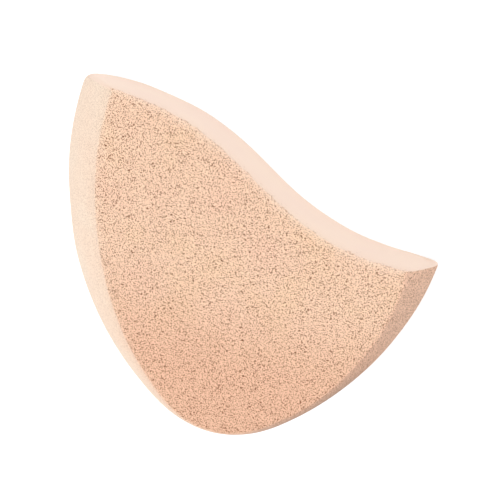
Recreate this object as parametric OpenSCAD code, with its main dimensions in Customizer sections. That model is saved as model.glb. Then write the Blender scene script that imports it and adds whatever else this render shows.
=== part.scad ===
// Makeup sponge: a leaf-shaped foam pad with a wavy top edge, a bevelled rim and two cut faces.
// It lies on its back face. Its two tips lie along X, the wavy edge faces +Y and the apex -Y.
// Outlines are drawn from the left tip of the ridge, then the pad is centred over its origin.

/* [Pad] */
// Thickness from the back face to the front face
pad_thick = 15; // [11:0.5:20]
// Length between the two tips at the ridge, the widest level of the rim
pad_len = 71.5; // [64:0.5:80]
// Width from the line between the tips to the apex, at the ridge
pad_width = 49.5; // [44:0.5:58]

/* [Wavy edge] */
// Height of the crest above the line between the tips, and depth of the trough below it
wave_amp = 3.3; // [1.5:0.1:4.5]
// Distance of the crest from the left tip
wave_crest = 19.5; // [15:0.5:24]
// Length of the climb that ends at the crest
climb_len = 43.5; // [38:0.5:50]
// Length of the fall from the crest to the trough
fall_len = 34.5; // [30:0.5:40]

/* [Rim at the ridge] */
// Height of the ridge above the back face
ridge_z = 5.2; // [3.5:0.1:7]
// Distance of the apex from the left tip, along the line between the tips
apex_x = 44.5; // [40:0.5:49]
// Radius round the apex
apex_r = 20.5; // [16:0.5:24]
// Radius of the rim from the left tip to the apex
left_r = 56; // [48:0.5:66]
// Radius of the rim from the right tip to the apex
right_r = 56; // [44:0.5:66]

/* [Front bevel] */
// Setback of the front face from the left tip
left_setback = 8; // [4:0.1:10]
// Setback of the front face from the right tip
right_setback = 4.4; // [2.5:0.1:6.5]
// Setback of the front face from the apex
apex_setback = 4.2; // [2:0.1:5.5]
// Sideways step of the apex between the ridge and the front face
apex_step = 2; // [0:0.1:4]
// Radius of the front face round its apex
front_apex_r = 14.5; // [12:0.5:18]
// Radius of the front face's left side
front_left_r = 57; // [48:0.5:66]
// Radius of the front face's right side
front_right_r = 46; // [40:0.5:60]
// Curve of the bevel: 1 is straight, and more lets it fall steeper towards the ridge
bevel_power = 1.3; // [1:0.05:1.8]

/* [Back edge] */
// Setback of the rounded back edge, as a share of the front face's setback
back_setback_share = 0.9; // [0.3:0.05:1.1]

/* [Foam layers] */
// Thickness of the smooth moulded skin on the wavy edge and the rim
skin = 0.4; // [0.3:0.05:0.8]
// Depth of the open cells that the slicing blade leaves at the front and back faces
face_layer = 1; // [0.6:0.1:2]

/* [Smoothness] */
// Facets along each side of the rim, and half as many round the apex
side_steps = 14; // [8:2:20]
// Levels in the rounded back edge
round_steps = 6; // [4:1:10]
// Levels in the front bevel
bevel_steps = 5; // [3:1:8]

/* [Hidden] */

core_colour = [0.93, 0.77, 0.64];
face_colour = [0.90, 0.73, 0.60];
top_colour = [0.98, 0.86, 0.79];
rim_colour = [0.97, 0.86, 0.76];
rim_back_colour = [0.92, 0.79, 0.69];

apex_steps = side_steps / 2;
wave_steps = 2 * side_steps + apex_steps;
rim_count = wave_steps + 1;
level_gap = 0.05;
meet_steps = 8;
quarter_turn = 90;
half_turn = 180;
full_turn = 360;
core_top = pad_thick - face_layer;

// Height of the wavy edge above the line between the tips
function wave_y(x) = wave_amp * cos(half_turn * (x - wave_crest) / (x < wave_crest ? climb_len : fall_len));

// Setback share of a level: 0 at the ridge, 1 at the front face
function setback_share(z) =
    z < ridge_z
        ? back_setback_share * (1 - sqrt(1 - pow((ridge_z - z) / ridge_z, 2)))
        : pow((z - ridge_z) / (pad_thick - ridge_z), bevel_power);

function blend(ridge_value, front_value, share) = ridge_value + (front_value - ridge_value) * share;

// Centre of the circle of radius r that starts at tip and runs into the apex circle
function side_centre(tip, apex, r, round_r, hand) =
    let (
        span = norm(apex - tip),
        along = (r * r - pow(r - round_r, 2) + span * span) / (2 * span),
        across = sqrt(r * r - along * along),
        way = (apex - tip) / span
    )
    tip + way * along + hand * across * [-way.y, way.x];

// The three arcs of one level: left centre and radius, apex centre and radius, right centre and radius
function rim_arcs(share) =
    let (
        left_x = left_setback * share,
        right_x = pad_len - right_setback * share,
        round_r = blend(apex_r, front_apex_r, share),
        apex = [apex_x + apex_step * share, apex_setback * share - pad_width + round_r],
        side_l = blend(left_r, front_left_r, share),
        side_r = blend(right_r, front_right_r, share)
    )
    [
        [side_centre([left_x, wave_y(left_x)], apex, side_l, round_r, 1), side_l],
        [apex, round_r],
        [side_centre([right_x, wave_y(right_x)], apex, side_r, round_r, -1), side_r]
    ];

// Where a side circle meets the wavy edge set in by inset, found by a few rounds of correction
function meet_x(centre, r, hand, inset, x, steps = meet_steps) =
    steps == 0
        ? x
        : meet_x(
            centre, r, hand, inset,
            centre.x + hand * sqrt(r * r - pow(wave_y(x) - inset - centre.y, 2)),
            steps - 1
        );

function wave_point(x, inset) = [x, wave_y(x) - inset];

// Direction from one point to another, from 0 to 360 degrees
function heading(from, to) = let (way = to - from) (atan2(way.y, way.x) + full_turn) % full_turn;

function arc_points(centre, r, start, end, steps, first = 0) =
    [
        for (i = [first : steps])
            let (turn = start + (end - start) * i / steps)
                centre + r * [cos(turn), sin(turn)]
    ];

// Rim of one level from left to right, set in by rim_inset, between the wavy edge set in by wave_inset
function rim_points(share, rim_inset, wave_inset) =
    let (
        arcs = rim_arcs(share),
        left = arcs[0],
        apex = arcs[1],
        right = arcs[2],
        start_x = meet_x(left[0], left[1] - rim_inset, -1, wave_inset, left_setback * share),
        end_x = meet_x(right[0], right[1] - rim_inset, 1, wave_inset, pad_len - right_setback * share),
        start = wave_point(start_x, wave_inset),
        end = wave_point(end_x, wave_inset),
        into_apex = heading(left[0], apex[0]),
        out_of_apex = heading(right[0], apex[0]),
        end_heading = heading(right[0], end),
        end_turn = end_heading < out_of_apex ? end_heading + full_turn : end_heading
    )
    concat(
        arc_points(left[0], left[1] - rim_inset, heading(left[0], start), into_apex, side_steps),
        arc_points(apex[0], apex[1] - rim_inset, into_apex, out_of_apex, apex_steps, 1),
        arc_points(right[0], right[1] - rim_inset, out_of_apex, end_turn, side_steps, 1)
    );

// Wavy edge from start_x to end_x, set in by inset
function wave_points(start_x, end_x, inset, steps = wave_steps) =
    [for (i = [0 : steps]) wave_point(start_x + (end_x - start_x) * i / steps, inset)];

function reversed(list) = [for (i = [len(list) - 1 : -1 : 0]) list[i]];

function without_ends(list) = [for (i = [1 : len(list) - 2]) list[i]];

// Whole outline of one level, set in by inset all round, as one loop
function pad_loop(share, inset) =
    let (
        rim = rim_points(share, inset, inset),
        edge = wave_points(rim[0].x, rim[len(rim) - 1].x, inset)
    )
    concat(rim, reversed(without_ends(edge)));

// Loop of the skin along the wavy edge: its inner side first, then its outer side
function top_skin_loop(share) =
    let (
        outer_rim = rim_points(share, 0, 0),
        cut_rim = rim_points(share, 0, skin),
        inner_rim = rim_points(share, skin, skin),
        last = len(outer_rim) - 1
    )
    concat(
        [cut_rim[0]],
        wave_points(inner_rim[0].x, inner_rim[last].x, skin),
        [cut_rim[last]],
        reversed(wave_points(outer_rim[0].x, outer_rim[last].x, 0, wave_steps + 2))
    );

// Loop of the skin round the rim, which ends against the skin of the wavy edge
function rim_skin_loop(share) = concat(rim_points(share, 0, skin), reversed(rim_points(share, skin, skin)));

// Levels where the rim changes, from the back face to the front face
round_levels = [for (i = [0 : round_steps]) ridge_z * (1 - cos(quarter_turn * i / round_steps))];
bevel_levels = [for (i = [1 : bevel_steps]) ridge_z + (pad_thick - ridge_z) * i / bevel_steps];
all_levels = concat(
    [for (z = round_levels) if (z < face_layer - level_gap) z],
    [face_layer],
    [for (z = round_levels) if (z > face_layer + level_gap) z],
    [for (z = bevel_levels) if (z < core_top - level_gap) z],
    [core_top],
    [pad_thick]
);

function levels_between(low, high) =
    concat([low], [for (z = all_levels) if (z > low + level_gap && z < high - level_gap) z], [high]);

// The ridge is the widest level, so its loop gives the pad's middle
ridge_loop = pad_loop(0, 0);
ridge_xs = [for (p = ridge_loop) p.x];
ridge_ys = [for (p = ridge_loop) p.y];
middle = [(min(ridge_xs) + max(ridge_xs)) / 2, (min(ridge_ys) + max(ridge_ys)) / 2];

function raised(loop, z) = [for (p = loop) [p.x - middle.x, p.y - middle.y, z]];

// Loops from the low level to the high one, where loop_at gives the loop for a setback share
function stack(low, high, loop_at) =
    [for (z = levels_between(low, high)) raised(loop_at(setback_share(z)), z)];

inner_loop = function(share) pad_loop(share, skin);
top_loop = function(share) top_skin_loop(share);
rim_loop = function(share) rim_skin_loop(share);

// Closed solid through loops of equal count, lowest first. A loop runs out along its first chain of points
// and back along its second. The two chains may share their ends, and strips across them close the solid.
module loft(loops, chain) {
    count = len(loops[0]);
    top_start = (len(loops) - 1) * count;
    shared = 2 * chain > count;
    back = shared ? count : count - 1;
    partner = [for (i = [0 : chain - 1]) shared && (i == 0 || i == chain - 1) ? i : back - i];
    sides = [
        for (level = [0 : len(loops) - 2], i = [0 : count - 1])
            let (a = level * count + i, b = level * count + (i + 1) % count)
                each [[a, a + count, b + count], [a, b + count, b]]
    ];
    strip = [
        for (i = [0 : chain - 2])
            each concat(
                shared && i == chain - 2 ? [] : [[i, i + 1, partner[i + 1]]],
                shared && i == 0 ? [] : [[i, partner[i + 1], partner[i]]]
            )
    ];
    top = [for (t = strip) [top_start + t[2], top_start + t[1], top_start + t[0]]];
    polyhedron([for (loop = loops) each loop], concat(strip, sides, top));
}

// Springy open-cell middle of the pad, under the skins and between the cut faces
module foam_core() {
    color(core_colour) loft(stack(face_layer, core_top, inner_loop), rim_count);
}

// Front layer of cells that the slicing blade opened, framed by the cut edge of the skins
module front_face() {
    color(face_colour) loft(stack(core_top, pad_thick, inner_loop), rim_count);
}

// Back layer of opened cells, which the pad lies on, framed like the front one
module back_face() {
    color(face_colour) loft(stack(0, face_layer, inner_loop), rim_count);
}

// Smooth pore-free skin along the wavy edge
module top_skin() {
    color(top_colour) loft(stack(0, pad_thick, top_loop), rim_count + 2);
}

// Fine-pored skin of the front bevel, from the ridge up to the front face
module front_rim_skin() {
    color(rim_colour) loft(stack(ridge_z, pad_thick, rim_loop), rim_count);
}

// Fine-pored skin of the rounded back edge, from the back face up to the ridge
module back_rim_skin() {
    color(rim_back_colour) loft(stack(0, ridge_z, rim_loop), rim_count);
}

foam_core();
front_face();
back_face();
top_skin();
front_rim_skin();
back_rim_skin();
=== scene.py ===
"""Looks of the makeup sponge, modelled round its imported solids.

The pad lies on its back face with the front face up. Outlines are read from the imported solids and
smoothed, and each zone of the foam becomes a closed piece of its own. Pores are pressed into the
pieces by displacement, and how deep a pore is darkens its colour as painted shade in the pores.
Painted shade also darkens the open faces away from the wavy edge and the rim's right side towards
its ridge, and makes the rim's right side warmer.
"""

import logging
import math
from dataclasses import dataclass
from enum import Enum

import bmesh
import bpy
import numpy as np
from mathutils import Matrix, Vector
from mathutils.geometry import delaunay_2d_cdt
from mathutils.kdtree import KDTree


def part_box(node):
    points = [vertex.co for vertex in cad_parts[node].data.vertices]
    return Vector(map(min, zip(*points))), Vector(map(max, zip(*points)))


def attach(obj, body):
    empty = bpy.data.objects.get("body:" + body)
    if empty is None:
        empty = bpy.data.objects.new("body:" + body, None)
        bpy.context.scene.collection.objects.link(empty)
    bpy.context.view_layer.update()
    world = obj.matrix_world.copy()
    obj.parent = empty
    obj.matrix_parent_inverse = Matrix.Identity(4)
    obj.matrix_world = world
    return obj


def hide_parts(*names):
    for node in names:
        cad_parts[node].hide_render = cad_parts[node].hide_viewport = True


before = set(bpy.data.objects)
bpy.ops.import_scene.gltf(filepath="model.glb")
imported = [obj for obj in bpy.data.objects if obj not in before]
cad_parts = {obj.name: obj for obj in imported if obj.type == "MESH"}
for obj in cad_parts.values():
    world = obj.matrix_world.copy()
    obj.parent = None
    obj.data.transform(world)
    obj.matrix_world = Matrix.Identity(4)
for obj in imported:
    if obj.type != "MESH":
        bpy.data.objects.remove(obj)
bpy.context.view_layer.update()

LOG = logging.getLogger("sponge")
MM = 0.001
BAKE_MAP = "OFBake"
WHITE = (1.0, 1.0, 1.0, 1.0)
BLACK = (0.0, 0.0, 0.0, 1.0)
# Names of numbers kept at the points; some carry painted shade: the pores' depth, the rim's warm right side
# and its shade towards the ridge.
PIT_SHADE = "pore"
OPEN = "open"
PAINTED_WARM_SHADE = "warm_fill"
PAINTED_RIDGE_SHADE = "ridge_shade"
PITS = "pits"
OUTER = "outer"


class Node(Enum):
    """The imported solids, one for each zone of the foam."""

    CORE = "foam_core"
    FRONT_FACE = "front_face"
    BACK_FACE = "back_face"
    TOP_SKIN = "top_skin"
    FRONT_RIM = "front_rim_skin"
    BACK_RIM = "back_rim_skin"


class Seed(Enum):
    """Starts of the random numbers, one for each uneven line."""

    FRONT_FRAY = 3
    RIM_BAND = 5
    BACK_FRAY = 6
    BORDER = 9


class Push(Enum):
    """Directions in which pores are pressed."""

    UP_AND_DOWN = "Z"
    ACROSS_SURFACE = "NORMAL"


# Outlines


def packed_rings(node: Node) -> dict[float, np.ndarray]:
    """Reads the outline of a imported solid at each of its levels.

    Args:
        node: The solid to read.

    Returns:
        The points round the solid in order, by height.
    """
    same, flat = 1e-6, 2e-6
    solid = bmesh.new()
    solid.from_mesh(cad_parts[node.value].data)
    bmesh.ops.remove_doubles(solid, verts=solid.verts, dist=same)
    rings = {}
    for height in sorted({round(v.co.z, 6) for v in solid.verts}):
        beside: dict[bmesh.types.BMVert, list[bmesh.types.BMVert]] = {}
        for edge in solid.edges:
            off_level = [abs(v.co.z - height) > flat for f in edge.link_faces for v in f.verts]
            if all(abs(v.co.z - height) < flat for v in edge.verts) and any(off_level):
                one, other = edge.verts
                beside.setdefault(one, []).append(other)
                beside.setdefault(other, []).append(one)
        start = min(beside, key=lambda v: v.co.x)
        ring = [start, beside[start][0]]
        while True:
            onward = next(v for v in beside[ring[-1]] if v is not ring[-2])
            if onward is start:
                break
            ring.append(onward)
        rings[height] = np.array([v.co for v in ring], float)
    solid.free()
    return rings


def sides_of(ring: np.ndarray) -> list[np.ndarray]:
    """Splits an outline at its corners.

    Args:
        ring: Points round an outline, in order.

    Returns:
        The long sides, each from its left end to its right end, longest first.
    """
    corner, shortest = math.radians(30), 2 * MM
    before, after = ring - np.roll(ring, 1, 0), np.roll(ring, -1, 0) - ring
    turn = np.arctan2(before[:, 0] * after[:, 1] - before[:, 1] * after[:, 0], (before * after).sum(1))
    ends = np.flatnonzero(np.abs(turn) > corner)
    sides = []
    for first, last in zip(ends, np.roll(ends, -1)):
        side = np.take(ring, range(first, last + 1 if last > first else last + len(ring) + 1), 0, mode="wrap")
        if line_length(side) > shortest:
            sides.append(side if side[0, 0] < side[-1, 0] else side[::-1])
    return sorted(sides, key=line_length, reverse=True)


def line_length(line: np.ndarray) -> float:
    """Length of a line of points."""
    return float(np.linalg.norm(np.diff(line, axis=0), axis=1).sum())


def mean_depth(line: np.ndarray) -> float:
    """How far back a line lies on average."""
    return float(line[:, 1].mean())


def smooth_through(points: np.ndarray, shares: np.ndarray) -> np.ndarray:
    """Reads a smooth curve through points.

    Args:
        points: At least three points of any shape, along the first axis.
        shares: Where to read, from 0 at the first point to 1 at the last, by length.

    Returns:
        What lies there, along the first axis.
    """
    steps = np.linalg.norm(np.diff(points, axis=0), axis=-1).reshape(len(points) - 1, -1).mean(1)
    along = np.concatenate([[0.0], np.cumsum(steps)])
    flat = points.reshape(len(points), -1)
    slopes = np.gradient(flat, along, axis=0, edge_order=2)
    wanted = shares * along[-1]
    at = np.clip(np.searchsorted(along, wanted) - 1, 0, len(steps) - 1)
    step = steps[at][:, None]
    t = (wanted - along[at])[:, None] / step
    read = (
        (2 * t**3 - 3 * t**2 + 1) * flat[at]
        + (t**3 - 2 * t**2 + t) * step * slopes[at]
        + (3 * t**2 - 2 * t**3) * flat[at + 1]
        + (t**3 - t**2) * step * slopes[at + 1]
    )
    return read.reshape(len(shares), *points.shape[1:])


def even(count: int) -> np.ndarray:
    """Evenly spaced shares from 0 to 1."""
    return np.linspace(0.0, 1.0, count)


Steps = tuple[tuple[float, float], ...]


def eased(steps: Steps, shares: np.ndarray) -> np.ndarray:
    """Reads a number that goes softly from step to step.

    Args:
        steps: A share and a number for each step, in the shares' order.
        shares: Where to read.

    Returns:
        The numbers there.
    """
    at, values = np.array(steps).T
    step = np.clip(np.searchsorted(at, shares) - 1, 0, len(at) - 2)
    part = np.clip((shares - at[step]) / (at[step + 1] - at[step]), 0, 1)
    return values[step] + (values[step + 1] - values[step]) * part**2 * (3 - 2 * part)


def ragged(count: int, knot: int, seed: int) -> np.ndarray:
    """Uneven numbers from 0 to 1 along a line, a new one at each knot and straight between them."""
    knots = np.random.default_rng(seed).random(count // knot + 2)
    return np.interp(np.arange(count) / knot, np.arange(len(knots)), knots)


def between(first: np.ndarray, last: np.ndarray, count: int) -> np.ndarray:
    """Straight rows from one row of points to another, both included."""
    return first + (last - first) * even(count)[:, None, None]


def rows_down(rows: np.ndarray, count: int) -> np.ndarray:
    """Picks evenly spread rows from the last but one down to the first."""
    return rows[np.linspace(0, len(rows) - 1, count + 1).round().astype(int)[::-1][1:]]


def soften_row(rows: np.ndarray, row: int, reach: np.ndarray) -> np.ndarray:
    """Rounds a profile where one of its rows runs along a crease."""
    return soften(rows.transpose(1, 0, 2), row, reach).transpose(1, 0, 2)


def soften(lines: np.ndarray, corner: int, reach: np.ndarray) -> np.ndarray:
    """Rounds one corner of each line.

    Args:
        lines: Lines of points, one for each row.
        corner: Which point of each line is the corner.
        reach: How far from the corner each line starts to turn.

    Returns:
        The lines with that corner rounded.
    """
    nothing = 1e-9
    count = lines.shape[1]
    steps = np.linalg.norm(np.diff(lines, axis=1), axis=2)
    along = np.concatenate([np.zeros((len(lines), 1)), np.cumsum(steps, 1)], 1)
    along -= along[:, corner : corner + 1]
    share = along / reach[:, None]
    centre = lines[:, corner]
    arms = []
    for way in (-1, 1):
        far = np.argmin(np.abs(share - way), 1).clip(0, count - 1)
        arm = lines[np.arange(len(lines)), far] - centre
        arms.append(arm / np.maximum(np.linalg.norm(arm, axis=1), nothing)[:, None] * reach[:, None])
    turn = ((1 + share) / 2)[..., None]
    rounded = centre[:, None] + (1 - turn) ** 2 * arms[0][:, None] + turn**2 * arms[1][:, None]
    return np.where((np.abs(share) < 1)[..., None], rounded, lines)


@dataclass(frozen=True)
class TipRounding:
    """How far from an upright corner its rounding starts, at the back face and at the front face."""

    back: float
    front: float
    fall: float = 1.0
    least: float = 0.05 * MM

    def reach(self, share: np.ndarray, inward: float = 0.0) -> np.ndarray:
        """Reach at each share of the height, less what a line further inside loses."""
        full = self.front + (self.back - self.front) * (1 - share) ** self.fall
        return np.maximum(full - inward, self.least)


@dataclass(frozen=True)
class Trim:
    """How far the foam of one long side stands outside its packed outline.

    Each step is a share of the side's length and a distance in millimetres.
    """

    ridge: Steps
    front: Steps = ((0.0, 0.0), (1.0, 0.0))

    def moved(self, side: np.ndarray, lift: float, right_is_out: bool) -> np.ndarray:
        """Moves a side's points outwards.

        Args:
            side: Evenly spaced points along the side.
            lift: 0 at the ridge and below it, and 1 at the front face.
            right_is_out: Whether outwards is to the right when one goes along the side.

        Returns:
            The moved points.
        """
        shares = even(len(side))
        by = (1 - lift) * eased(self.ridge, shares) + lift * eased(self.front, shares)
        along = np.gradient(side[:, :2], axis=0)
        along /= np.linalg.norm(along, axis=1)[:, None]
        out = np.stack([along[:, 1], -along[:, 0], np.zeros(len(side))], -1) * (1 if right_is_out else -1)
        return side + out * (by * MM)[:, None]


@dataclass(frozen=True)
class TipStretch:
    """How much further along the rim the right tip's corner stands, at the back and at the front face."""

    back: float
    front: float
    reach: float

    def moved(self, rim: np.ndarray, edge: np.ndarray, lift: float) -> tuple[np.ndarray, np.ndarray]:
        """Draws the right ends of both long sides out along the rim.

        Args:
            rim: Points along the rim, from left to right.
            edge: Points along the wavy edge, from left to right.
            lift: 0 at the back face and 1 at the front face.

        Returns:
            The rim and the edge, moved near their right ends.
        """
        way = rim[-1] - rim[-2]
        way *= (self.back + (self.front - self.back) * lift) / np.linalg.norm(way)
        distances = (np.linalg.norm(line - line[-1], axis=1) for line in (rim, edge))
        near = [np.clip(1 - distance / self.reach, 0, 1) for distance in distances]
        return rim + way * near[0][:, None] ** 2, edge + way * near[1][:, None] ** 2


RIM_TRIM = Trim(
    ridge=(
        (0.0, -0.07), (0.1, -0.1), (0.18, -0.3), (0.26, 0.0), (0.42, 0.12), (0.56, 0.0),
        (0.64, 0.03), (0.78, -0.1), (0.88, -0.03), (0.96, 0.1), (1.0, 0.05),
    ),
    front=(
        (0.0, 0.03), (0.08, 0.05), (0.16, -0.15), (0.24, -0.18), (0.32, -0.07),
        (0.38, 0.03), (0.46, -0.05), (0.6, 0.0), (0.68, 0.04), (0.74, 0.24),
        (0.8, 0.24), (0.85, 0.18), (0.9, 0.27), (0.97, 0.26), (1.0, -0.04),
    ),
)
EDGE_TRIM = Trim(
    ridge=(
        (0.0, -0.04), (0.12, -0.16), (0.28, -0.04), (0.42, 0.08), (0.58, 0.0),
        (0.73, 0.16), (0.87, 0.02), (0.94, -0.12), (0.98, -0.37), (1.0, -0.2),
    ),
    front=((0.0, 0.04), (0.9, 0.04), (0.96, 0.06), (1.0, -0.13)),
)


@dataclass
class PadWalls:
    """The foam's outlines as fine rows of points from the back face up, outside and just under the skin."""

    spacing: float = 0.12 * MM
    left_tip: TipRounding = TipRounding(2.9 * MM, 0.45 * MM)
    right_tip: TipRounding = TipRounding(2.9 * MM, 0.35 * MM, 8.0)
    right_stretch: TipStretch = TipStretch(0.5 * MM, 0.4 * MM, 2.5 * MM)
    skin_loss: float = 0.48 * MM
    end_points: int = 5

    def __post_init__(self) -> None:
        """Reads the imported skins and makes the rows."""
        back_rim, front_rim = packed_rings(Node.BACK_RIM), packed_rings(Node.FRONT_RIM)
        rims, edges = {**back_rim, **front_rim}, packed_rings(Node.TOP_SKIN)
        foam = {**packed_rings(Node.BACK_FACE), **packed_rings(Node.CORE), **packed_rings(Node.FRONT_FACE)}
        heights = sorted(edges)
        foam_sides = [sides_of(foam[h])[:2] for h in heights]
        rim_sides = [(sides_of(rims[h])[0], inside[0]) for h, inside in zip(heights, foam_sides)]
        top_sides = [max(sides_of(edges[h])[:2], key=mean_depth) for h in heights]
        edge_sides = [(top, inside[1]) for top, inside in zip(top_sides, foam_sides)]
        self.rim_count = round(line_length(rim_sides[0][0]) / self.spacing)
        self.edge_count = round(line_length(edge_sides[0][0]) / self.spacing)
        self.edge_count += (self.rim_count + self.edge_count) % 2
        outer, inner = [], []
        ridge = heights[len(back_rim) - 1]
        for height, rim, edge in zip(heights, rim_sides, edge_sides):
            lift = max(0.0, (height - ridge) / (heights[-1] - ridge))
            rim_out, rim_in = (
                RIM_TRIM.moved(smooth_through(side, even(self.rim_count)), lift, True) for side in rim
            )
            lift = height / heights[-1]
            edge_out, edge_in = (
                EDGE_TRIM.moved(smooth_through(side, even(self.edge_count)), lift, False) for side in edge
            )
            rim_out, edge_out = self.right_stretch.moved(rim_out, edge_out, lift)
            rim_in, edge_in = self.right_stretch.moved(rim_in, edge_in, lift)
            left, right = self.end_piece(rim_out[0], edge_out[0]), self.end_piece(edge_out[-1], rim_out[-1])
            outer.append(np.concatenate([rim_out[::-1], left, edge_out, right]))
            inner.append(np.concatenate([rim_in[::-1], edge_in[1:-1]]))
        outer, inner = np.array(outer), np.array(inner)
        shares = self.row_shares(outer, len(back_rim) - 1)
        rows, self.inner = smooth_through(outer, shares), smooth_through(inner, shares)
        self.heights = rows[:, 0, 2]
        last_rim = self.rim_count - 1
        ends = self.end_points - 2
        rows = self.round_tips(rows, (last_rim + ends, last_rim + ends + self.edge_count + 1), 0.0)
        self.inner = self.round_tips(self.inner, (last_rim, last_rim + self.edge_count - 1), self.skin_loss)
        self.rim = rows[:, last_rim::-1]
        self.edge = np.concatenate([rows[:, last_rim:], rows[:, :1]], 1)
        self.rim_inside = self.inner[:, last_rim::-1]
        edge_inside = np.concatenate([self.inner[:, last_rim:], self.inner[:, :1]], 1)
        repeats = np.ones(self.edge_count, int)
        repeats[[0, -1]] = self.end_points
        self.edge_inside = edge_inside.repeat(repeats, 1)

    def row_shares(self, levels: np.ndarray, ridge: int) -> np.ndarray:
        """Shares of the height at which rows lie, with one row on the ridge.

        Args:
            levels: The outline at each packed level.
            ridge: Which level is the ridge between the two bevels.

        Returns:
            The shares, from 0 at the back face to 1 at the front face.
        """
        lifts = np.linalg.norm(np.diff(levels, axis=0), axis=2).mean(1)
        low, total = lifts[:ridge].sum(), lifts.sum()
        self.ridge_row = math.ceil(low / self.spacing)
        above = math.ceil((total - low) / self.spacing)
        up_to_ridge = low * even(self.ridge_row + 1)
        up_to_front = low + (total - low) * even(above + 1)[1:]
        return np.concatenate([up_to_ridge, up_to_front]) / total

    def end_piece(self, start: np.ndarray, end: np.ndarray) -> np.ndarray:
        """Points between one place and the next, without those two."""
        return (start + (end - start) * even(self.end_points)[:, None])[1:-1]

    def round_tips(self, rows: np.ndarray, corners: tuple[int, int], inward: float) -> np.ndarray:
        """Rounds the upright corners at both tips, more at the back than at the front face.

        Args:
            rows: The whole outline, one row for each level.
            corners: Which points are the left and the right tip.
            inward: What a line under the skin loses of the reach.

        Returns:
            The rows with rounded tips.
        """
        share, middle = self.heights / self.heights[-1], rows.shape[1] // 2
        for corner, tip in zip(corners, (self.left_tip, self.right_tip)):
            turned = soften(np.roll(rows, middle - corner, 1), middle, tip.reach(share, inward))
            rows = np.roll(turned, corner - middle, 1)
        return rows

    def inside_at(self, height: float) -> np.ndarray:
        """The outline under the skin at one height.

        Args:
            height: Height above the back face.

        Returns:
            The points round the foam there.
        """
        above = int(np.clip(np.searchsorted(self.heights, height), 1, len(self.heights) - 1))
        low, high = self.heights[above - 1], self.heights[above]
        part = (height - low) / (high - low)
        return self.inner[above - 1] * (1 - part) + self.inner[above] * part


# Meshes


def new_piece(
    name: str, points: np.ndarray, faces: list, corners: np.ndarray | None = None
) -> bpy.types.Object:
    """Makes a mesh object, with a map if it is given one.

    Args:
        name: Name of the piece.
        points: Its points in metres, in the part's frame.
        faces: The points of each face.
        corners: Place of each face's corners on the bake's map, in the faces' order.

    Returns:
        The new object, selected and active.
    """
    mesh = bpy.data.meshes.new(name)
    mesh.from_pydata(points.tolist(), [], faces)
    if corners is not None:
        mesh.uv_layers.new(name=BAKE_MAP).uv.foreach_set("vector", corners.astype(np.float32).ravel())
    piece = bpy.data.objects.new(name, mesh)
    bpy.context.scene.collection.objects.link(piece)
    pick(piece)
    return piece


def pick(piece: bpy.types.Object) -> None:
    """Selects one object alone and makes it active.

    Args:
        piece: The object.
    """
    bpy.ops.object.select_all(action="DESELECT")
    piece.select_set(True)
    bpy.context.view_layer.objects.active = piece


def close_up(piece: bpy.types.Object, smooth_angle: float = math.radians(70)) -> None:
    """Merges doubles, turns every face outwards and smooths the shading.

    Args:
        piece: The piece.
        smooth_angle: Edges turned further than this stay sharp.
    """
    same = 0.001 * MM
    pick(piece)
    bpy.ops.object.mode_set(mode="EDIT")
    bpy.ops.mesh.select_all(action="SELECT")
    bpy.ops.mesh.remove_doubles(threshold=same)
    bpy.ops.mesh.normals_make_consistent(inside=False)
    bpy.ops.object.mode_set(mode="OBJECT")
    bpy.ops.object.shade_smooth_by_angle(angle=smooth_angle)


def set_points(piece: bpy.types.Object, name: str, values: np.ndarray) -> None:
    """Keeps a number for each point of a piece."""
    mark = piece.data.attributes.get(name) or piece.data.attributes.new(name, "FLOAT", "POINT")
    mark.data.foreach_set("value", values.astype(np.float32))


def get_points(piece: bpy.types.Object, name: str) -> np.ndarray:
    """Reads a number for each point of a piece.

    Args:
        piece: The piece.
        name: Name of the numbers.

    Returns:
        The numbers in the points' order.
    """
    values = np.empty(len(piece.data.vertices), np.float32)
    piece.data.attributes[name].data.foreach_get("value", values)
    return values


def places(piece: bpy.types.Object) -> np.ndarray:
    """Reads where a piece's points are.

    Args:
        piece: The piece.

    Returns:
        One row for each point.
    """
    found = np.empty(len(piece.data.vertices) * 3, np.float32)
    piece.data.vertices.foreach_get("co", found)
    return found.reshape(-1, 3)


def swept(name: str, profile: np.ndarray) -> bpy.types.Object:
    """Makes a closed skin from a profile that runs round it, its two ends closed by faces of their own.

    Args:
        name: Name of the piece.
        profile: Rows of points round the skin's section, each along the whole skin.

    Returns:
        The new object.
    """
    rows, columns = profile.shape[:2]
    index = np.arange(rows * columns).reshape(rows, columns)
    after = np.roll(index, -1, 0)
    quads = np.stack([index[:, :-1], index[:, 1:], after[:, 1:], after[:, :-1]], -1).reshape(-1, 4)
    margin = 0.03
    cap_width = margin * 0.6
    u, v = margin + (1 - 2 * margin) * even(columns), np.arange(rows + 1) / rows
    left, right = np.broadcast_to(u[:-1], (rows, columns - 1)), np.broadcast_to(u[1:], (rows, columns - 1))
    low = np.broadcast_to(v[:-1, None], left.shape)
    high = np.broadcast_to(v[1:, None], left.shape)
    corners = np.stack([left, low, right, low, right, high, left, high], -1).reshape(-1, 2)
    faces = quads.tolist() + [index[:, 0].tolist(), index[::-1, -1].tolist()]
    for end, start in ((profile[:, 0], 0.0), (profile[::-1, -1], 1 - cap_width)):
        across = (end - end[0])[:, :2] @ (end[rows // 2] - end[0])[:2]
        shape = np.stack([across, end[:, 2]], -1)
        shape = (shape - shape.min(0)) / (shape.max(0) - shape.min(0))
        corners = np.concatenate([corners, shape * [cap_width, 1.0] + [start, 0.0]])
    return new_piece(name, profile.reshape(-1, 3), faces, corners)


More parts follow.
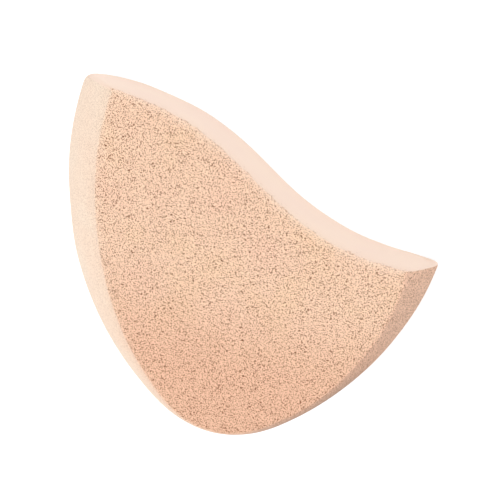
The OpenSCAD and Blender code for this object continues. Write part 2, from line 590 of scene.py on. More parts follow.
def lattice(line: np.ndarray, spacing: float) -> np.ndarray:
    """Fills an outline with points that stand an equal distance apart.

    Args:
        line: The outline, seen from above.
        spacing: Distance between neighbours.

    Returns:
        The points inside, clear of the outline.
    """
    row_gap, clear = spacing * math.sqrt(3) / 2, spacing * 0.6
    low, high = line.min(0), line.max(0)
    found = []
    after = np.roll(line, -1, 0)
    for row, y in enumerate(np.arange(low[1], high[1], row_gap)):
        crossed = (line[:, 1] > y) != (after[:, 1] > y)
        a, b = line[crossed], after[crossed]
        cuts = np.sort(a[:, 0] + (y - a[:, 1]) * (b[:, 0] - a[:, 0]) / (b[:, 1] - a[:, 1]))
        for start, end in zip(cuts[::2], cuts[1::2]):
            x = np.arange(low[0] + row % 2 * spacing / 2, high[0], spacing)
            x = x[(x > start + clear) & (x < end - clear)]
            found.append(np.stack([x, np.full(len(x), y)], -1))
    return np.concatenate(found)


def strips(count: int, ring: np.ndarray) -> list[list[int]]:
    """Closes a ring with crosswise quads, its points given from one tip round to that tip again."""
    near, far = np.arange(count // 2), count - 1 - np.arange(count // 2)
    return np.stack([ring[near[:-1]], ring[near[1:]], ring[far[1:]], ring[far[:-1]]], -1).tolist()


@dataclass
class Layer:
    """A flat layer of foam between two outlines, with a fine open face and a plain hidden one."""

    name: str
    open_ring: np.ndarray
    hidden_ring: np.ndarray
    spacing: float
    open_map_height: float = 0.6
    hidden_map_start: tuple[float, float] = (0.02, 0.62)
    hidden_map_size: tuple[float, float] = (0.96, 0.288)
    wall_map_start: float = 0.96

    def build(self) -> bpy.types.Object:
        """Makes the layer's closed mesh and marks the points of its open face.

        Returns:
            The new object.
        """
        low, high = self.open_ring[:, :2].min(0), self.open_ring[:, :2].max(0)
        count = len(self.open_ring)
        flat = np.concatenate([self.open_ring[:, :2], lattice(self.open_ring[:, :2], self.spacing)])
        size = high - low
        scaled = (flat - low) / size.max()
        ring_edges = [(i, (i + 1) % count) for i in range(count)]
        inside_only, same = 1, 1e-6
        placed, _, faces, *_ = delaunay_2d_cdt([Vector(p) for p in scaled], ring_edges, [], inside_only, same)
        placed = np.array(placed, float)
        if len(placed) != len(flat):
            raise ValueError(f"{self.name}: the outline crosses itself")
        height = self.open_ring[0, 2]
        points = np.column_stack([placed * size.max() + low, np.full(len(placed), height)])
        base = len(points)
        points = np.concatenate([points, self.hidden_ring])
        open_faces = np.array(faces, int)
        step = np.arange(count)
        walls = np.stack([step, (step + 1) % count, base + (step + 1) % count, base + step], -1)
        bottom = np.array(strips(count, np.arange(count))) + base
        open_map = placed * size.max() / size * [1.0, self.open_map_height]
        hidden_map = (self.hidden_ring[:, :2] - low) / size * self.hidden_map_size + self.hidden_map_start
        corners = [
            open_map[open_faces].reshape(-1, 2),
            self.wall_map(count),
            hidden_map[bottom - base].reshape(-1, 2),
        ]
        piece = new_piece(
            self.name, points, open_faces.tolist() + walls.tolist() + bottom.tolist(), np.concatenate(corners)
        )
        opened = np.zeros(len(points))
        opened[:base] = 1.0
        set_points(piece, OPEN, opened)
        return piece

    def wall_map(self, count: int) -> np.ndarray:
        """Places of the wall's corners on the bake's map, in a strip above the two faces.

        Args:
            count: How many faces the wall has.

        Returns:
            Four places for each face.
        """
        u = np.arange(count + 1) / count
        low, high = np.full(count, self.wall_map_start), np.ones(count)
        return np.stack([u[:-1], low, u[1:], low, u[1:], high, u[:-1], high], -1).reshape(-1, 2)


# Pores


@dataclass(frozen=True)
class Pores:
    """Round pits of one size, pressed into a surface."""

    name: str
    spacing: float
    depth: float
    open_at: float
    deep_at: float

    def texture(self) -> bpy.types.Texture:
        """Makes the texture that says how deep each point lies.

        Returns:
            The texture.
        """
        cells = bpy.data.textures.new(self.name, "VORONOI")
        cells.noise_scale = self.spacing
        cells.distance_metric = "DISTANCE"
        cells.use_color_ramp = True
        ramp = cells.color_ramp
        ramp.interpolation = "EASE"
        ramp.elements[0].position, ramp.elements[0].color = self.deep_at, WHITE
        ramp.elements[1].position, ramp.elements[1].color = self.open_at, BLACK
        return cells

    def press(self, piece: bpy.types.Object, group: str, push: Push, sign: float = -1.0) -> None:
        """Presses the pits into part of a piece.

        Args:
            piece: The piece.
            group: Vertex group whose weights scale the depth.
            push: Direction of the pits.
            sign: -1 presses down or inwards, and 1 up.
        """
        pick(piece)
        pits = piece.modifiers.new(self.name, "DISPLACE")
        pits.texture, pits.texture_coords = self.texture(), "LOCAL"
        pits.direction, pits.vertex_group = push.value, group
        pits.mid_level, pits.strength = 0.0, sign * self.depth
        bpy.ops.object.modifier_apply(modifier=pits.name)


def group_from(piece: bpy.types.Object, name: str, weights: np.ndarray) -> None:
    """Makes a vertex group from a weight for each point.

    Args:
        piece: The piece.
        name: Name of the group.
        weights: A weight from 0 to 1 for each point.
    """
    steps = 20
    group = piece.vertex_groups.new(name=name)
    levels = np.round(weights * steps) / steps
    for level in np.unique(levels[levels > 0]):
        group.add(np.flatnonzero(levels == level).tolist(), float(level), "REPLACE")


# Finishes


def linear(red: int, green: int, blue: int) -> tuple[float, float, float, float]:
    """Turns a colour as a screen shows it into the shader's linear colour."""
    parts = [c / 255 for c in (red, green, blue)]
    return (*(p / 12.92 if p <= 0.04045 else ((p + 0.055) / 1.055) ** 2.4 for p in parts), 1.0)


Tone = tuple[int, int, int]
Socket = bpy.types.NodeSocket


class Recipe:
    """A material's nodes, put together step by step."""

    def __init__(self, name: str) -> None:
        """Starts a material with one main shader.

        Args:
            name: Name of the material.
        """
        self.material = bpy.data.materials.new(name)
        self.material.use_nodes = True
        self.tree = self.material.node_tree
        self.shader = self.tree.nodes["Principled BSDF"]
        self.place = self.tree.nodes.new("ShaderNodeTexCoord").outputs["Object"]

    def feed(self, target: Socket, value: Socket | Tone | float) -> None:
        """Links or sets an input.

        Args:
            target: The input.
            value: An output to link, a colour or a number.
        """
        if isinstance(value, Socket):
            self.tree.links.new(value, target)
        elif isinstance(value, tuple):
            target.default_value = linear(*value)
        else:
            target.default_value = value

    def noise(self, spacing: float, detail: float) -> Socket:
        """Cloudy noise with the given spacing.

        Args:
            spacing: Size of one cloud.
            detail: How many finer layers it has.

        Returns:
            A number round 0.5.
        """
        node = self.tree.nodes.new("ShaderNodeTexNoise")
        node.inputs["Scale"].default_value = 1 / spacing
        node.inputs["Detail"].default_value = detail
        self.feed(node.inputs["Vector"], self.place)
        return node.outputs["Fac"]

    def cells(self, spacing: float) -> tuple[Socket, Socket]:
        """Distance from the middles of cells with the given spacing, and a random number for each cell.

        Args:
            spacing: Size of one cell.

        Returns:
            The distance as a share of the spacing, and the cell's number from 0 to 1.
        """
        node = self.tree.nodes.new("ShaderNodeTexVoronoi")
        node.inputs["Scale"].default_value = 1 / spacing
        self.feed(node.inputs["Vector"], self.place)
        split = self.tree.nodes.new("ShaderNodeSeparateColor")
        self.feed(split.inputs["Color"], node.outputs["Color"])
        return node.outputs["Distance"], split.outputs["Red"]

    def ranged(self, value: Socket, low: float, high: float, start: float = 0.0, end: float = 1.0) -> Socket:
        """Stretches a number from one range to another and stops it there, with soft ends.

        Args:
            value: The number.
            low: Value that becomes `start`.
            high: Value that becomes `end`.
            start: Result at `low`.
            end: Result at `high`.

        Returns:
            The number in its new range.
        """
        node = self.tree.nodes.new("ShaderNodeMapRange")
        node.interpolation_type = "SMOOTHSTEP"
        for name, number in (("From Min", low), ("From Max", high), ("To Min", start), ("To Max", end)):
            node.inputs[name].default_value = number
        self.feed(node.inputs["Value"], value)
        return node.outputs["Result"]

    def sum_up(self, kind: str, one: Socket | float, other: Socket | float) -> Socket:
        """Adds, multiplies or otherwise joins two numbers.

        Args:
            kind: The math node's operation.
            one: First number.
            other: Second number.

        Returns:
            The result, kept between 0 and 1.
        """
        node = self.tree.nodes.new("ShaderNodeMath")
        node.operation = kind
        node.use_clamp = True
        self.feed(node.inputs[0], one)
        self.feed(node.inputs[1], other)
        return node.outputs[0]

    def mix(self, share: Socket, one: Socket | Tone, other: Socket | Tone) -> Socket:
        """Goes from one colour to another.

        Args:
            share: How much of the other colour there is.
            one: Colour at a share of 0.
            other: Colour at a share of 1.

        Returns:
            The mixed colour.
        """
        node = self.tree.nodes.new("ShaderNodeMix")
        node.data_type = "RGBA"
        by_kind = [socket for socket in node.inputs if socket.type == "RGBA"]
        self.feed(node.inputs["Factor"], share)
        self.feed(by_kind[0], one)
        self.feed(by_kind[1], other)
        return next(socket for socket in node.outputs if socket.type == "RGBA")

    def mark(self, name: str) -> Socket:
        """Reads a number kept at the piece's points.

        Args:
            name: Name of the numbers.

        Returns:
            The number.
        """
        node = self.tree.nodes.new("ShaderNodeAttribute")
        node.attribute_name = name
        return node.outputs["Fac"]

    def along(self, way: tuple[float, float, float], low: float, high: float) -> Socket:
        """A number that grows from 0 to 1 along one direction.

        Args:
            way: The direction.
            low: Distance along it where the number starts to grow.
            high: Distance along it where the number is 1.

        Returns:
            The number.
        """
        node = self.tree.nodes.new("ShaderNodeVectorMath")
        node.operation = "DOT_PRODUCT"
        self.feed(node.inputs[0], self.place)
        node.inputs[1].default_value = way
        return self.ranged(node.outputs["Value"], low, high)

    def bump(self, height: Socket, depth: float) -> None:
        """Presses small relief into the shading.

        Args:
            height: Height of the surface, from 0 to 1.
            depth: Depth of the relief in metres.
        """
        node = self.tree.nodes.new("ShaderNodeBump")
        node.inputs["Distance"].default_value = depth
        self.feed(node.inputs["Height"], height)
        self.feed(self.shader.inputs["Normal"], node.outputs["Normal"])


@dataclass(frozen=True)
class OpenCells:
    """Colours and grain of foam that is cut open, and the colours of its painted shade."""

    wall: Tone = (254, 218, 191)
    pink: Tone = (254, 212, 188)
    yellow: Tone = (253, 218, 182)
    # Painted shade: open faces turn this darker colour away from the wavy edge, towards the rim.
    tan: Tone = (245, 200, 172)
    # Painted warm shade on the shaded right side of the rim.
    warm_fill: Tone = (255, 213, 187)
    # Painted shade on the right of the rim, darker towards its ridge.
    ridge_shade_colour: Tone = (212, 181, 160)
    # Colour of the dark grain, and of painted shade in the pores as deep as they are pressed.
    grain_and_pit_shade: Tone = (122, 60, 0)
    patch_spacing: float = 11.0 * MM
    patch_middle: float = 0.5
    patch_pink: float = 0.7
    patch_yellow: float = 0.3
    patch_share: float = 0.38
    grain_spacing: float = 0.19 * MM
    grain_share: float = 0.85
    grain_from: float = 0.53
    grain_to: float = 0.62
    dot_spacing: float = 0.28 * MM
    dot_reach: float = 0.27
    dot_core: float = 0.18
    dot_share: float = 0.75
    dot_chance: tuple[float, float] = (0.1, 0.9)
    # Direction and distances over which the painted shade of the open faces grows.
    falloff_way: tuple[float, float, float] = (0.262, -0.958, 0.0)
    falloff_from: float = -5.9 * MM
    falloff_to: float = 16.1 * MM


@dataclass(frozen=True)
class FoamFinish:
    """Matt foam: a closed skin where it was moulded, and open cells where it was cut or abraded, with painted
    shade.
    """

    name: str
    skin: Tone
    skin_patch: Tone
    skin_grain: float
    bump: float
    roughness: float
    specular: float
    skin_patches: tuple[float, float] = (0.4, 0.6)
    pit_roughness: float = 0.1
    open_cells: OpenCells = OpenCells()

    def make(self) -> bpy.types.Material:
        """Makes the material's nodes.

        Returns:
            The material.
        """
        cells, recipe = self.open_cells, Recipe(self.name)
        opened, patches = recipe.mark(OPEN), recipe.noise(cells.patch_spacing, 2)
        pink = recipe.ranged(patches, cells.patch_middle, cells.patch_pink, 0.0, cells.patch_share)
        yellow = recipe.ranged(patches, cells.patch_middle, cells.patch_yellow, 0.0, cells.patch_share)
        body = recipe.mix(yellow, recipe.mix(pink, cells.wall, cells.pink), cells.yellow)
        skin = recipe.mix(recipe.ranged(patches, *self.skin_patches), self.skin, self.skin_patch)
        # Painted warm shade on the right of the rim, by the mark kept there.
        body = recipe.mix(recipe.mark(PAINTED_WARM_SHADE), recipe.mix(opened, skin, body), cells.warm_fill)
        # Painted shade that darkens the open faces away from the wavy edge.
        tan = recipe.sum_up("MULTIPLY", recipe.along(cells.falloff_way, cells.falloff_from, cells.falloff_to), opened)
        # Painted shade on the right of the rim, darker towards its ridge.
        body = recipe.mix(recipe.mark(PAINTED_RIDGE_SHADE), recipe.mix(tan, body, cells.tan), cells.ridge_shade_colour)
        grain = recipe.ranged(recipe.noise(cells.grain_spacing, 1), cells.grain_from, cells.grain_to)
        distance, chance = recipe.cells(cells.dot_spacing)
        dots = recipe.ranged(distance, cells.dot_reach, cells.dot_core)
        dots = recipe.sum_up("MULTIPLY", dots, recipe.ranged(chance, *cells.dot_chance))
        dark = recipe.sum_up(
            "MAXIMUM",
            recipe.sum_up("MULTIPLY", grain, cells.grain_share),
            recipe.sum_up("MULTIPLY", dots, cells.dot_share),
        )
        strength = recipe.ranged(opened, 0.0, 1.0, self.skin_grain, 1.0)
        dark = recipe.sum_up("MULTIPLY", dark, strength)
        # Painted shade in the pores, as deep as they were pressed.
        dark = recipe.sum_up("MAXIMUM", dark, recipe.mark(PIT_SHADE))
        recipe.feed(recipe.shader.inputs["Base Color"], recipe.mix(dark, body, cells.grain_and_pit_shade))
        recipe.bump(recipe.sum_up("SUBTRACT", 1.0, dark), self.bump)
        rough = recipe.ranged(dark, 0.0, 1.0, self.roughness, min(1.0, self.roughness + self.pit_roughness))
        recipe.feed(recipe.shader.inputs["Roughness"], rough)
        recipe.feed(recipe.shader.inputs["Specular IOR Level"], self.specular)
        return recipe.material


CUT_FOAM = FoamFinish(
    "cut_foam",
    skin=(252, 229, 209),
    skin_patch=(252, 226, 206),
    skin_grain=0.1,
    bump=0.01 * MM,
    roughness=0.88,
    specular=0.1,
)
SMOOTH_SKIN = FoamFinish(
    "smooth_skin",
    skin=(253, 228, 210),
    skin_patch=(252, 226, 209),
    skin_grain=0.0,
    bump=0.02 * MM,
    roughness=0.6,
    specular=0.3,
)
FINE_SKIN = FoamFinish(
    "fine_skin",
    skin=(255, 236, 217),
    skin_patch=(255, 233, 213),
    skin_grain=0.3,
    bump=0.01 * MM,
    roughness=0.8,
    specular=0.25,
)
CORE_FOAM = FoamFinish(
    "core_foam",
    skin=(250, 222, 200),
    skin_patch=(248, 218, 196),
    skin_grain=0.3,
    bump=0.03 * MM,
    roughness=0.9,
    specular=0.2,
)


# The foam's zones


@dataclass
class Zone:
    """One zone of the foam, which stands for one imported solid."""

    node: Node
    slot: str
    finish: FoamFinish
    walls: PadWalls
    fill: float = 0.9
    full_pit: float = 0.055 * MM
    pit_from: float = 0.1
    smooth_angle: float = math.radians(75)

    @property
    def piece_name(self) -> str:
        """Name of the finished piece."""
        return f"{self.node.value}_foam"

    def marked(self, piece: bpy.types.Object, marks: dict[str, np.ndarray]) -> None:
        """Keeps numbers at the points, closes the mesh and remembers where its points are.

        Args:
            piece: The new mesh.
            marks: Numbers by name, one for each point.
        """
        for name, values in marks.items():
            set_points(piece, name, values)
        close_up(piece)
        self.rest = places(piece)

    def settle(self, piece: bpy.types.Object) -> bpy.types.Object:
        """Marks the pores' depth for their painted shade, dresses the piece and sets it on the part.

        Args:
            piece: The finished mesh.

        Returns:
            The piece.
        """
        moved = np.linalg.norm(places(piece) - self.rest, axis=1)
        # How far each point was pressed in, kept for painted shade in the pores.
        set_points(piece, PIT_SHADE, np.clip(moved / self.full_pit - self.pit_from, 0, 1))
        piece.data.materials.append(self.finish.make())
        piece.vertex_groups.clear()
        pick(piece)
        bpy.ops.object.shade_smooth_by_angle(angle=self.smooth_angle)
        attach(piece, "root")
        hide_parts(self.node.value)
        return piece


CELL_PITS = Pores("cell_pits", 0.5 * MM, 0.16 * MM, open_at=0.24, deep_at=0.08)
MIDDLE_PITS = Pores("middle_pits", 0.9 * MM, 0.16 * MM, open_at=0.15, deep_at=0.05)
LARGE_PITS = Pores("large_pits", 1.6 * MM, 0.2 * MM, open_at=0.11, deep_at=0.04)
SKIN_PITS = Pores("skin_pits", 0.24 * MM, 0.02 * MM, open_at=0.5, deep_at=0.1)
CORE_PITS = Pores("core_pits", 1.1 * MM, 0.15 * MM, open_at=0.6, deep_at=0.1)


@dataclass
class CutFace(Zone):
    """A sliced face of open cells, the front one or the back one."""

    spacing: float = 0.09 * MM
    border_reach: float = 1.4 * MM
    border_least: float = 0.5
    border_fall: float = 1.3
    border_knot: int = 4
    edge_border: float = 0.36
    rim_border: Steps = ((0.4, 0.2), (0.6, 0.0))

    def border(self, points: np.ndarray, ring: np.ndarray) -> np.ndarray:
        """Says how far the cells close towards the moulded skins.

        Args:
            points: Where to read.
            ring: The face's outline: the rim from right to left, then the wavy edge from left to right.

        Returns:
            A share for each point, 0 well inside the face.
        """
        rim = self.walls.rim_count
        most = np.full(len(ring), self.edge_border)
        most[:rim] = eased(self.rim_border, even(rim)[::-1])
        uneven = ragged(len(ring), self.border_knot, Seed.BORDER.value)
        reach = self.border_reach * (self.border_least + uneven)
        nearest = KDTree(len(ring))
        for index, place in enumerate(ring):
            nearest.insert(place, index)
        nearest.balance()
        index, distance = np.array([nearest.find(point)[1:] for point in points]).T
        index = index.astype(int)
        return most[index] * np.clip(1 - distance / reach[index], 0, 1) ** self.border_fall

    def build(self) -> bpy.types.Object:
        """Models the layer, presses its pores and dresses it.

        Returns:
            The piece.
        """
        low, high = (corner.z for corner in map(Vector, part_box(self.node.value)))
        front = self.node is Node.FRONT_FACE
        shown, hidden = (high, low) if front else (low, high)
        open_ring, hidden_ring = self.walls.inside_at(shown), self.walls.inside_at(hidden)
        layer = Layer(self.piece_name, open_ring, hidden_ring, self.spacing)
        piece = layer.build()
        opened = get_points(piece, OPEN)
        opened *= 1 - self.border(places(piece), open_ring)
        self.marked(piece, {OPEN: opened})
        group_from(piece, OPEN, get_points(piece, OPEN))
        sign = -1.0 if front else 1.0
        for pores in (CELL_PITS, MIDDLE_PITS, LARGE_PITS):
            pores.press(piece, OPEN, Push.UP_AND_DOWN, sign)
        return self.settle(piece)


@dataclass
class RimSkin(Zone):
    """The fine-pored skin of the rim: its front bevel or its rounded back edge."""

    left_edge_reach: float = 0.15 * MM
    right_edge_reach: float = 0.2 * MM
    coarse: Steps = ((0.56, 0.0), (0.73, 1.0), (0.82, 1.0), (0.92, 0.82))
    coarse_wall: float = 0.92
    fine_crease: float = 0.3
    fine_crease_rise: float = 1.5
    fine_edge: float = 0.1
    fine_edge_rise: int = 12
    band_open: Steps = ((0.4, 0.75), (0.6, 1.0))
    closed: Steps = ((0.42, 0.0), (0.5, 1.4), (0.57, 1.4), (0.66, 0.0))
    pits_from: float = 0.35
    # Painted shade on the right of the rim: where along the rim it lies, and how it fades from the ridge
    # towards the crease on the front and on the back.
    ridge_shade: Steps = ((0.57, 0.0), (0.66, 1.0), (0.77, 1.0), (0.87, 0.0), (1.0, 0.0))
    ridge_shade_full: float = 0.7
    front_ridge_shade_fall: int = 1
    back_ridge_shade_fall: int = 3
    band_slope: float = 3.0
    band_start: float = 0.8
    band_ragged: float = 1.3
    band_knot: int = 3
    band_points: int = 7
    inner_rows: int = 9

    def build(self) -> bpy.types.Object:
        """Models the skin round the rim, presses its pores and dresses it.

        Returns:
            The piece.
        """
        ridge = self.walls.ridge_row
        rows = slice(ridge, None) if self.node is Node.FRONT_RIM else slice(ridge, None, -1)
        outside, inside = self.walls.rim[rows], self.walls.rim_inside[rows]
        band = between(outside[-1], inside[-1], self.band_points)
        shown = np.concatenate([outside, band[1:]])
        columns, crease = shown.shape[1], len(outside) - 1
        coarse = eased(self.coarse, even(columns))
        reach = self.left_edge_reach + (self.right_edge_reach - self.left_edge_reach) * coarse
        shown = soften_row(shown, crease, reach)
        profile = np.concatenate([shown, rows_down(inside, self.inner_rows)])
        piece = swept(self.piece_name, profile)
        lift = even(crease + 1)[:, None]
        fine = self.fine_crease * lift**self.fine_crease_rise + self.fine_edge * lift**self.fine_edge_rise
        opened = np.zeros(profile.shape[:2])
        opened[: crease + 1] = fine + (self.coarse_wall - fine) * coarse
        uneven = self.band_ragged * ragged(columns, self.band_knot, Seed.RIM_BAND.value)
        across = even(self.band_points)[:, None] * self.band_slope + self.band_start - uneven
        across = across - eased(self.closed, even(columns))
        most = eased(self.band_open, even(columns))
        opened[crease : len(shown)] = opened[crease] + (most - opened[crease]) * np.clip(across, 0, 1)
        outer = np.zeros(len(profile))
        outer[1 : len(shown)] = 1.0
        pits = np.clip((opened - self.pits_from) / (1 - self.pits_from), 0, 1) * outer[:, None]
        # Painted warm shade on the right of the rim, wherever its cells are open.
        warm_fill = coarse * (opened > 0)
        # Painted shade, darker towards the ridge on the right of the rim.
        ridge_shade = np.zeros(profile.shape[:2])
        fall = self.front_ridge_shade_fall if self.node is Node.FRONT_RIM else self.back_ridge_shade_fall
        down = np.clip((1 - even(crease + 1)) / self.ridge_shade_full, 0, 1) ** fall
        ridge_shade[: crease + 1] = down[:, None] * eased(self.ridge_shade, even(columns))
        marks = {OPEN: opened, PITS: pits, OUTER: outer.repeat(columns), PAINTED_WARM_SHADE: warm_fill, PAINTED_RIDGE_SHADE: ridge_shade}
        self.marked(piece, {name: values.ravel() for name, values in marks.items()})
        for name in (PITS, OUTER):
            group_from(piece, name, get_points(piece, name))
        for pores in (CELL_PITS, MIDDLE_PITS):
            pores.press(piece, PITS, Push.ACROSS_SURFACE)
        SKIN_PITS.press(piece, OUTER, Push.ACROSS_SURFACE)
        return self.settle(piece)


@dataclass
class TopSkin(Zone):
    """The smooth skin along the wavy edge, whose cut edges frame both faces."""

    edge_reach: float = 0.15 * MM
    row_step: int = 3
    fine_rows: int = 7
    front_fray: tuple[float, float] = (0.1 * MM, 2.4 * MM)
    back_fray: tuple[float, float] = (-0.6 * MM, 1.2 * MM)
    fray_blur: float = 0.35 * MM
    fine_fray: float = 0.4
    fine_fray_knot: int = 2
    broad_fray_knot: int = 9
    front_fade: tuple[float, float] = (0.4, 2.2 * MM)
    band_share: float = 0.25
    band_open: float = 0.62
    band_points: int = 8
    inner_rows: int = 3

    def build(self) -> bpy.types.Object:
        """Models the skin along the wavy edge and dresses it.

        Returns:
            The piece.
        """
        count = len(self.walls.edge)
        rows, ends = np.arange(count), (self.fine_rows, count - 1 - self.fine_rows)
        fine = rows[(rows % self.row_step == 0) | (rows < ends[0]) | (rows > ends[1])]
        outside, inside = self.walls.edge[fine], self.walls.edge_inside
        top = between(outside[-1], inside[-1], self.band_points)
        bottom = between(inside[0], outside[0], self.band_points)
        profile = np.concatenate([outside, top[1:], rows_down(inside, self.inner_rows), bottom[1:-1]])
        columns, crease = profile.shape[1], len(outside) - 1
        profile = soften_row(profile, crease, np.full(columns, self.edge_reach))
        piece = swept(self.piece_name, profile)
        opened = np.zeros((len(profile), columns))
        depth = self.walls.heights[fine][:, None]
        inwards = even(self.band_points)[:, None] * self.walls.skin_loss
        steps = np.arange(self.band_points)
        for seed, (middle, spread), below, band in (
            (Seed.FRONT_FRAY.value, self.front_fray, self.walls.heights[-1] - depth, crease + steps),
            (Seed.BACK_FRAY.value, self.back_fray, depth, -steps),
        ):
            uneven = self.fine_fray * ragged(columns, self.fine_fray_knot, seed)
            uneven = uneven + (1 - self.fine_fray) * ragged(columns, self.broad_fray_knot, seed + 1)
            border = middle + spread * (uneven - 0.5)
            opened[: crease + 1] += np.clip((border - below) / self.fray_blur + 0.5, 0, 1)
            across = np.clip((border + inwards / self.band_share) / self.fray_blur + 0.5, 0, 1)
            opened[band] = np.maximum(opened[band], across) * self.band_open
        share, reach = self.front_fade
        faded = share * np.exp((depth - self.walls.heights[-1]) / reach)
        opened[: crease + 1] = np.maximum(opened[: crease + 1], faded)
        self.marked(piece, {OPEN: opened.ravel(), PITS: opened.ravel()})
        group_from(piece, PITS, get_points(piece, PITS))
        CELL_PITS.press(piece, PITS, Push.ACROSS_SURFACE)
        return self.settle(piece)


@dataclass
class Core(Zone):
    """The springy middle, which only shows when the pad is taken apart."""

    levels: int = 24
    column_step: int = 6

    def build(self) -> bpy.types.Object:
        """Models the middle from its outlines, presses its cells and dresses it.

        Returns:
            The piece.
        """
        low, high = (corner.z for corner in map(Vector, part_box(self.node.value)))
        heights = low + (high - low) * even(self.levels)
        rings = np.array([self.walls.inside_at(h)[:: self.column_step] for h in heights])
        rows, count = rings.shape[:2]
        index = np.arange(rows * count).reshape(rows, count)
        beside = np.roll(index, -1, 1)
        quads = np.stack([index[:-1], beside[:-1], beside[1:], index[1:]], -1).reshape(-1, 4).tolist()
        for row in (index[0], index[-1]):
            quads += strips(count, row)
        piece = new_piece(self.piece_name, rings.reshape(-1, 3), quads)
        opened = np.ones(len(piece.data.vertices))
        self.marked(piece, {OPEN: opened})
        group_from(piece, OPEN, opened)
        CORE_PITS.press(piece, OPEN, Push.ACROSS_SURFACE)
        return self.settle(piece)


# Studio


@dataclass(frozen=True)
class PhotoCamera:
    """The camera where the photograph was taken from."""

    place: tuple[float, float, float] = (0.01980420, 0.07234937, 0.21222164)
    right: tuple[float, float, float] = (0.87425159, 0.44303835, -0.19849728)
    up: tuple[float, float, float] = (-0.48062504, 0.84750607, -0.22523994)
    lens: float = 86.4
    sensor: float = 36.0
    clip: tuple[float, float] = (0.01, 10.0)

    @property
    def back(self) -> Vector:
        """Direction from the pad to the camera."""
        return Vector(self.right).cross(Vector(self.up))

    def make(self) -> bpy.types.Object:
        """Makes the camera and makes it the scene's.

        Returns:
            The camera.
        """
        turn = Matrix((self.right, self.up, self.back)).transposed().to_4x4()
        bpy.ops.object.camera_add()
        camera = bpy.context.object
        camera.matrix_world = Matrix.Translation(self.place) @ turn
        camera.data.lens, camera.data.sensor_width = self.lens, self.sensor
        camera.data.clip_start, camera.data.clip_end = self.clip
        bpy.context.scene.camera = camera
        return camera

    def beside(self, right: float, up: float, back: float) -> Vector:
        """A point that lies so far right, up and back of the pad, as the camera sees it."""
        return Vector(self.right) * right + Vector(self.up) * up + self.back * back


@dataclass(frozen=True)
class Lamp:
    """One soft lamp, placed as the camera sees it."""

    name: str
    place: tuple[float, float, float]
    size: float
    power: float
    colour: tuple[float, float, float] = (1.0, 1.0, 1.0)

    def make(self, camera: PhotoCamera) -> None:
        """Makes the lamp and points it at the pad.

        Args:
            camera: The camera that it is placed by.
        """
        place = camera.beside(*self.place)
        bpy.ops.object.light_add(type="AREA", location=place)
        lamp = bpy.context.object
        lamp.name = self.name
        lamp.rotation_euler = place.to_track_quat("Z", "Y").to_euler()
        lamp.data.shape, lamp.data.size = "DISK", self.size
        lamp.data.energy, lamp.data.color = self.power, self.colour


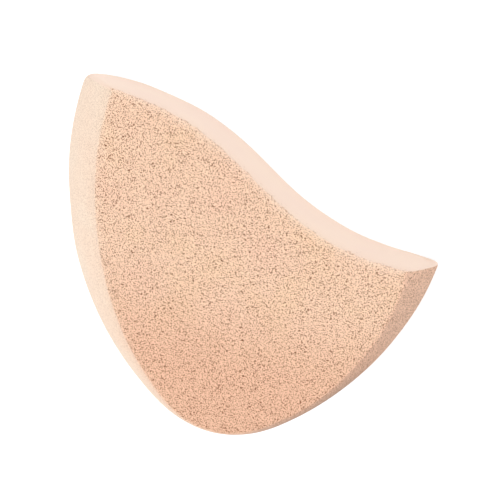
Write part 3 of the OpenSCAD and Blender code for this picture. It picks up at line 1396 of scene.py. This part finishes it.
@dataclass
class Studio:
    """White floor and surroundings with soft lamps."""

    camera: PhotoCamera
    lamps: tuple[Lamp, ...] = (
        Lamp("left_lamp", (-0.62, -0.42, 0.37), 0.60, 1.95, (0.90, 0.96, 1.0)),
        Lamp("top_lamp", (0.38, 0.64, 0.40), 0.60, 2.3, (0.90, 0.96, 1.0)),
        Lamp("front_lamp", (-0.20, -0.22, 0.95), 0.60, 2.3, (0.95, 0.98, 1.0)),
    )
    world_strength: float = 0.66
    world_colour: tuple[float, float, float, float] = (1.0, 0.95, 0.90, 1.0)
    floor_size: float = 4.0
    floor_drop: float = 0.02 * MM
    floor_colour: tuple[float, float, float, float] = (0.76, 0.79, 0.83, 1.0)
    floor_glow: float = 0.5

    def build(self) -> None:
        """Makes the world, the floor and the lamps."""
        scene = bpy.context.scene
        scene.view_settings.view_transform = "Standard"
        scene.world = bpy.data.worlds.new("studio")
        scene.world.use_nodes = True
        tree = scene.world.node_tree
        warm_fill = tree.nodes["Background"]
        warm_fill.inputs["Color"].default_value = self.world_colour
        warm_fill.inputs["Strength"].default_value = self.world_strength
        white = tree.nodes.new("ShaderNodeBackground")
        white.inputs["Color"].default_value = WHITE
        either = tree.nodes.new("ShaderNodeMixShader")
        tree.links.new(self.seen_rays(tree), either.inputs["Fac"])
        tree.links.new(warm_fill.outputs["Background"], either.inputs[1])
        tree.links.new(white.outputs["Background"], either.inputs[2])
        tree.links.new(either.outputs["Shader"], tree.nodes["World Output"].inputs["Surface"])
        bpy.ops.mesh.primitive_plane_add(size=self.floor_size, location=(0, 0, -self.floor_drop))
        floor = bpy.context.object
        floor.name = "floor"
        floor.data.materials.append(self.floor_finish())
        for lamp in self.lamps:
            lamp.make(self.camera)

    def seen_rays(self, tree: bpy.types.NodeTree) -> Socket:
        """A socket that is 1 for rays of the camera, of gloss and of glass.

        Args:
            tree: The nodes to add it to.

        Returns:
            The socket.
        """
        path = tree.nodes.new("ShaderNodeLightPath")
        total = path.outputs["Is Camera Ray"]
        for name in ("Is Glossy Ray", "Is Transmission Ray"):
            add = tree.nodes.new("ShaderNodeMath")
            add.operation, add.use_clamp = "ADD", True
            tree.links.new(total, add.inputs[0])
            tree.links.new(path.outputs[name], add.inputs[1])
            total = add.outputs[0]
        return total

    def floor_finish(self) -> bpy.types.Material:
        """Matt floor that glows a little where it is seen, so that it is white and keeps the shadow.

        Returns:
            The floor's material.
        """
        recipe = Recipe("floor")
        tree, shader = recipe.tree, recipe.shader
        shader.inputs["Base Color"].default_value = self.floor_colour
        shader.inputs["Roughness"].default_value = 1.0
        shader.inputs["Specular IOR Level"].default_value = 0.0
        shader.inputs["Emission Color"].default_value = WHITE
        glow = tree.nodes.new("ShaderNodeMath")
        glow.operation = "MULTIPLY"
        glow.inputs[1].default_value = self.floor_glow
        tree.links.new(self.seen_rays(tree), glow.inputs[0])
        tree.links.new(glow.outputs[0], shader.inputs["Emission Strength"])
        return recipe.material


def main() -> None:
    """Builds the studio and every zone of the foam."""
    logging.basicConfig(level=logging.INFO)
    camera = PhotoCamera()
    camera.make()
    Studio(camera).build()
    walls = PadWalls()
    for zone in (
        CutFace(Node.FRONT_FACE, "cut_foam", CUT_FOAM, walls),
        CutFace(Node.BACK_FACE, "cut_foam", CUT_FOAM, walls, spacing=0.15 * MM),
        TopSkin(Node.TOP_SKIN, "smooth_skin", SMOOTH_SKIN, walls),
        RimSkin(Node.FRONT_RIM, "fine_skin", FINE_SKIN, walls),
        RimSkin(Node.BACK_RIM, "fine_skin", FINE_SKIN, walls),
        Core(Node.CORE, "core_foam", CORE_FOAM, walls),
    ):
        piece = zone.build()
        LOG.info("%s: %d points, %d faces", piece.name, len(piece.data.vertices), len(piece.data.polygons))


if __name__ == "__main__":
    main()
